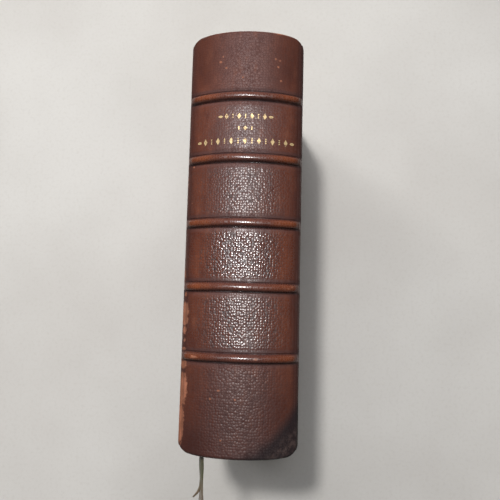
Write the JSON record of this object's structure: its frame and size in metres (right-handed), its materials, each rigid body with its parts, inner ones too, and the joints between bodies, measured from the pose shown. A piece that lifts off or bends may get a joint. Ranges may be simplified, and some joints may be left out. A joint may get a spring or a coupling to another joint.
{
  "type": "leather-bound book",
  "caption": "Small antique leather-bound book with a rounded spine, raised bands, hinged covers and a ribbon marker, standing on its fore-edge.",
  "frame": {"origin": "on the surface the book stands on, under the middle of the closed book", "axes": "+X towards the front cover, +Y towards the head, +Z towards the spine"},
  "size_m": [0.036, 0.1596, 0.086],
  "materials": {
    "pages": "matte",
    "endpaper": "matte",
    "lining_cloth": "matte",
    "hemp_cord": "matte",
    "endband_silk": "satin",
    "card": "matte",
    "spine_leather": "satin",
    "cover_leather": "satin",
    "ribbon_silk": "satin"
  },
  "bodies": {
    "book_block": {"text_block": "pages", "front_flyleaf": "endpaper", "back_flyleaf": "endpaper", "spine_lining": "lining_cloth", "sewing_cord_1": "hemp_cord", "sewing_cord_2": "hemp_cord", "sewing_cord_3": "hemp_cord", "sewing_cord_4": "hemp_cord", "head_band": "endband_silk", "tail_band": "endband_silk", "spine_inlay": "card", "band_1": "card", "band_2": "card", "band_3": "card", "band_4": "card", "band_5": "card", "spine_leather": "spine_leather", "ribbon_marker": "ribbon_silk"},
    "front_cover": {"front_board": "card", "front_leather": "cover_leather", "front_pastedown": "endpaper"},
    "back_cover": {"back_board": "card", "back_leather": "cover_leather", "back_pastedown": "endpaper"}
  },
  "joints": [
    {"name": "front_cover_hinge", "type": "hinge", "parent": "book_block", "child": "front_cover", "pos_m": [0.01786, 0, 0.07941], "axis": [0, -1, 0], "range_deg": [0, 175]},
    {"name": "back_cover_hinge", "type": "hinge", "parent": "book_block", "child": "back_cover", "pos_m": [-0.01786, 0, 0.07941], "axis": [0, 1, 0], "range_deg": [0, 175]}
  ]
}
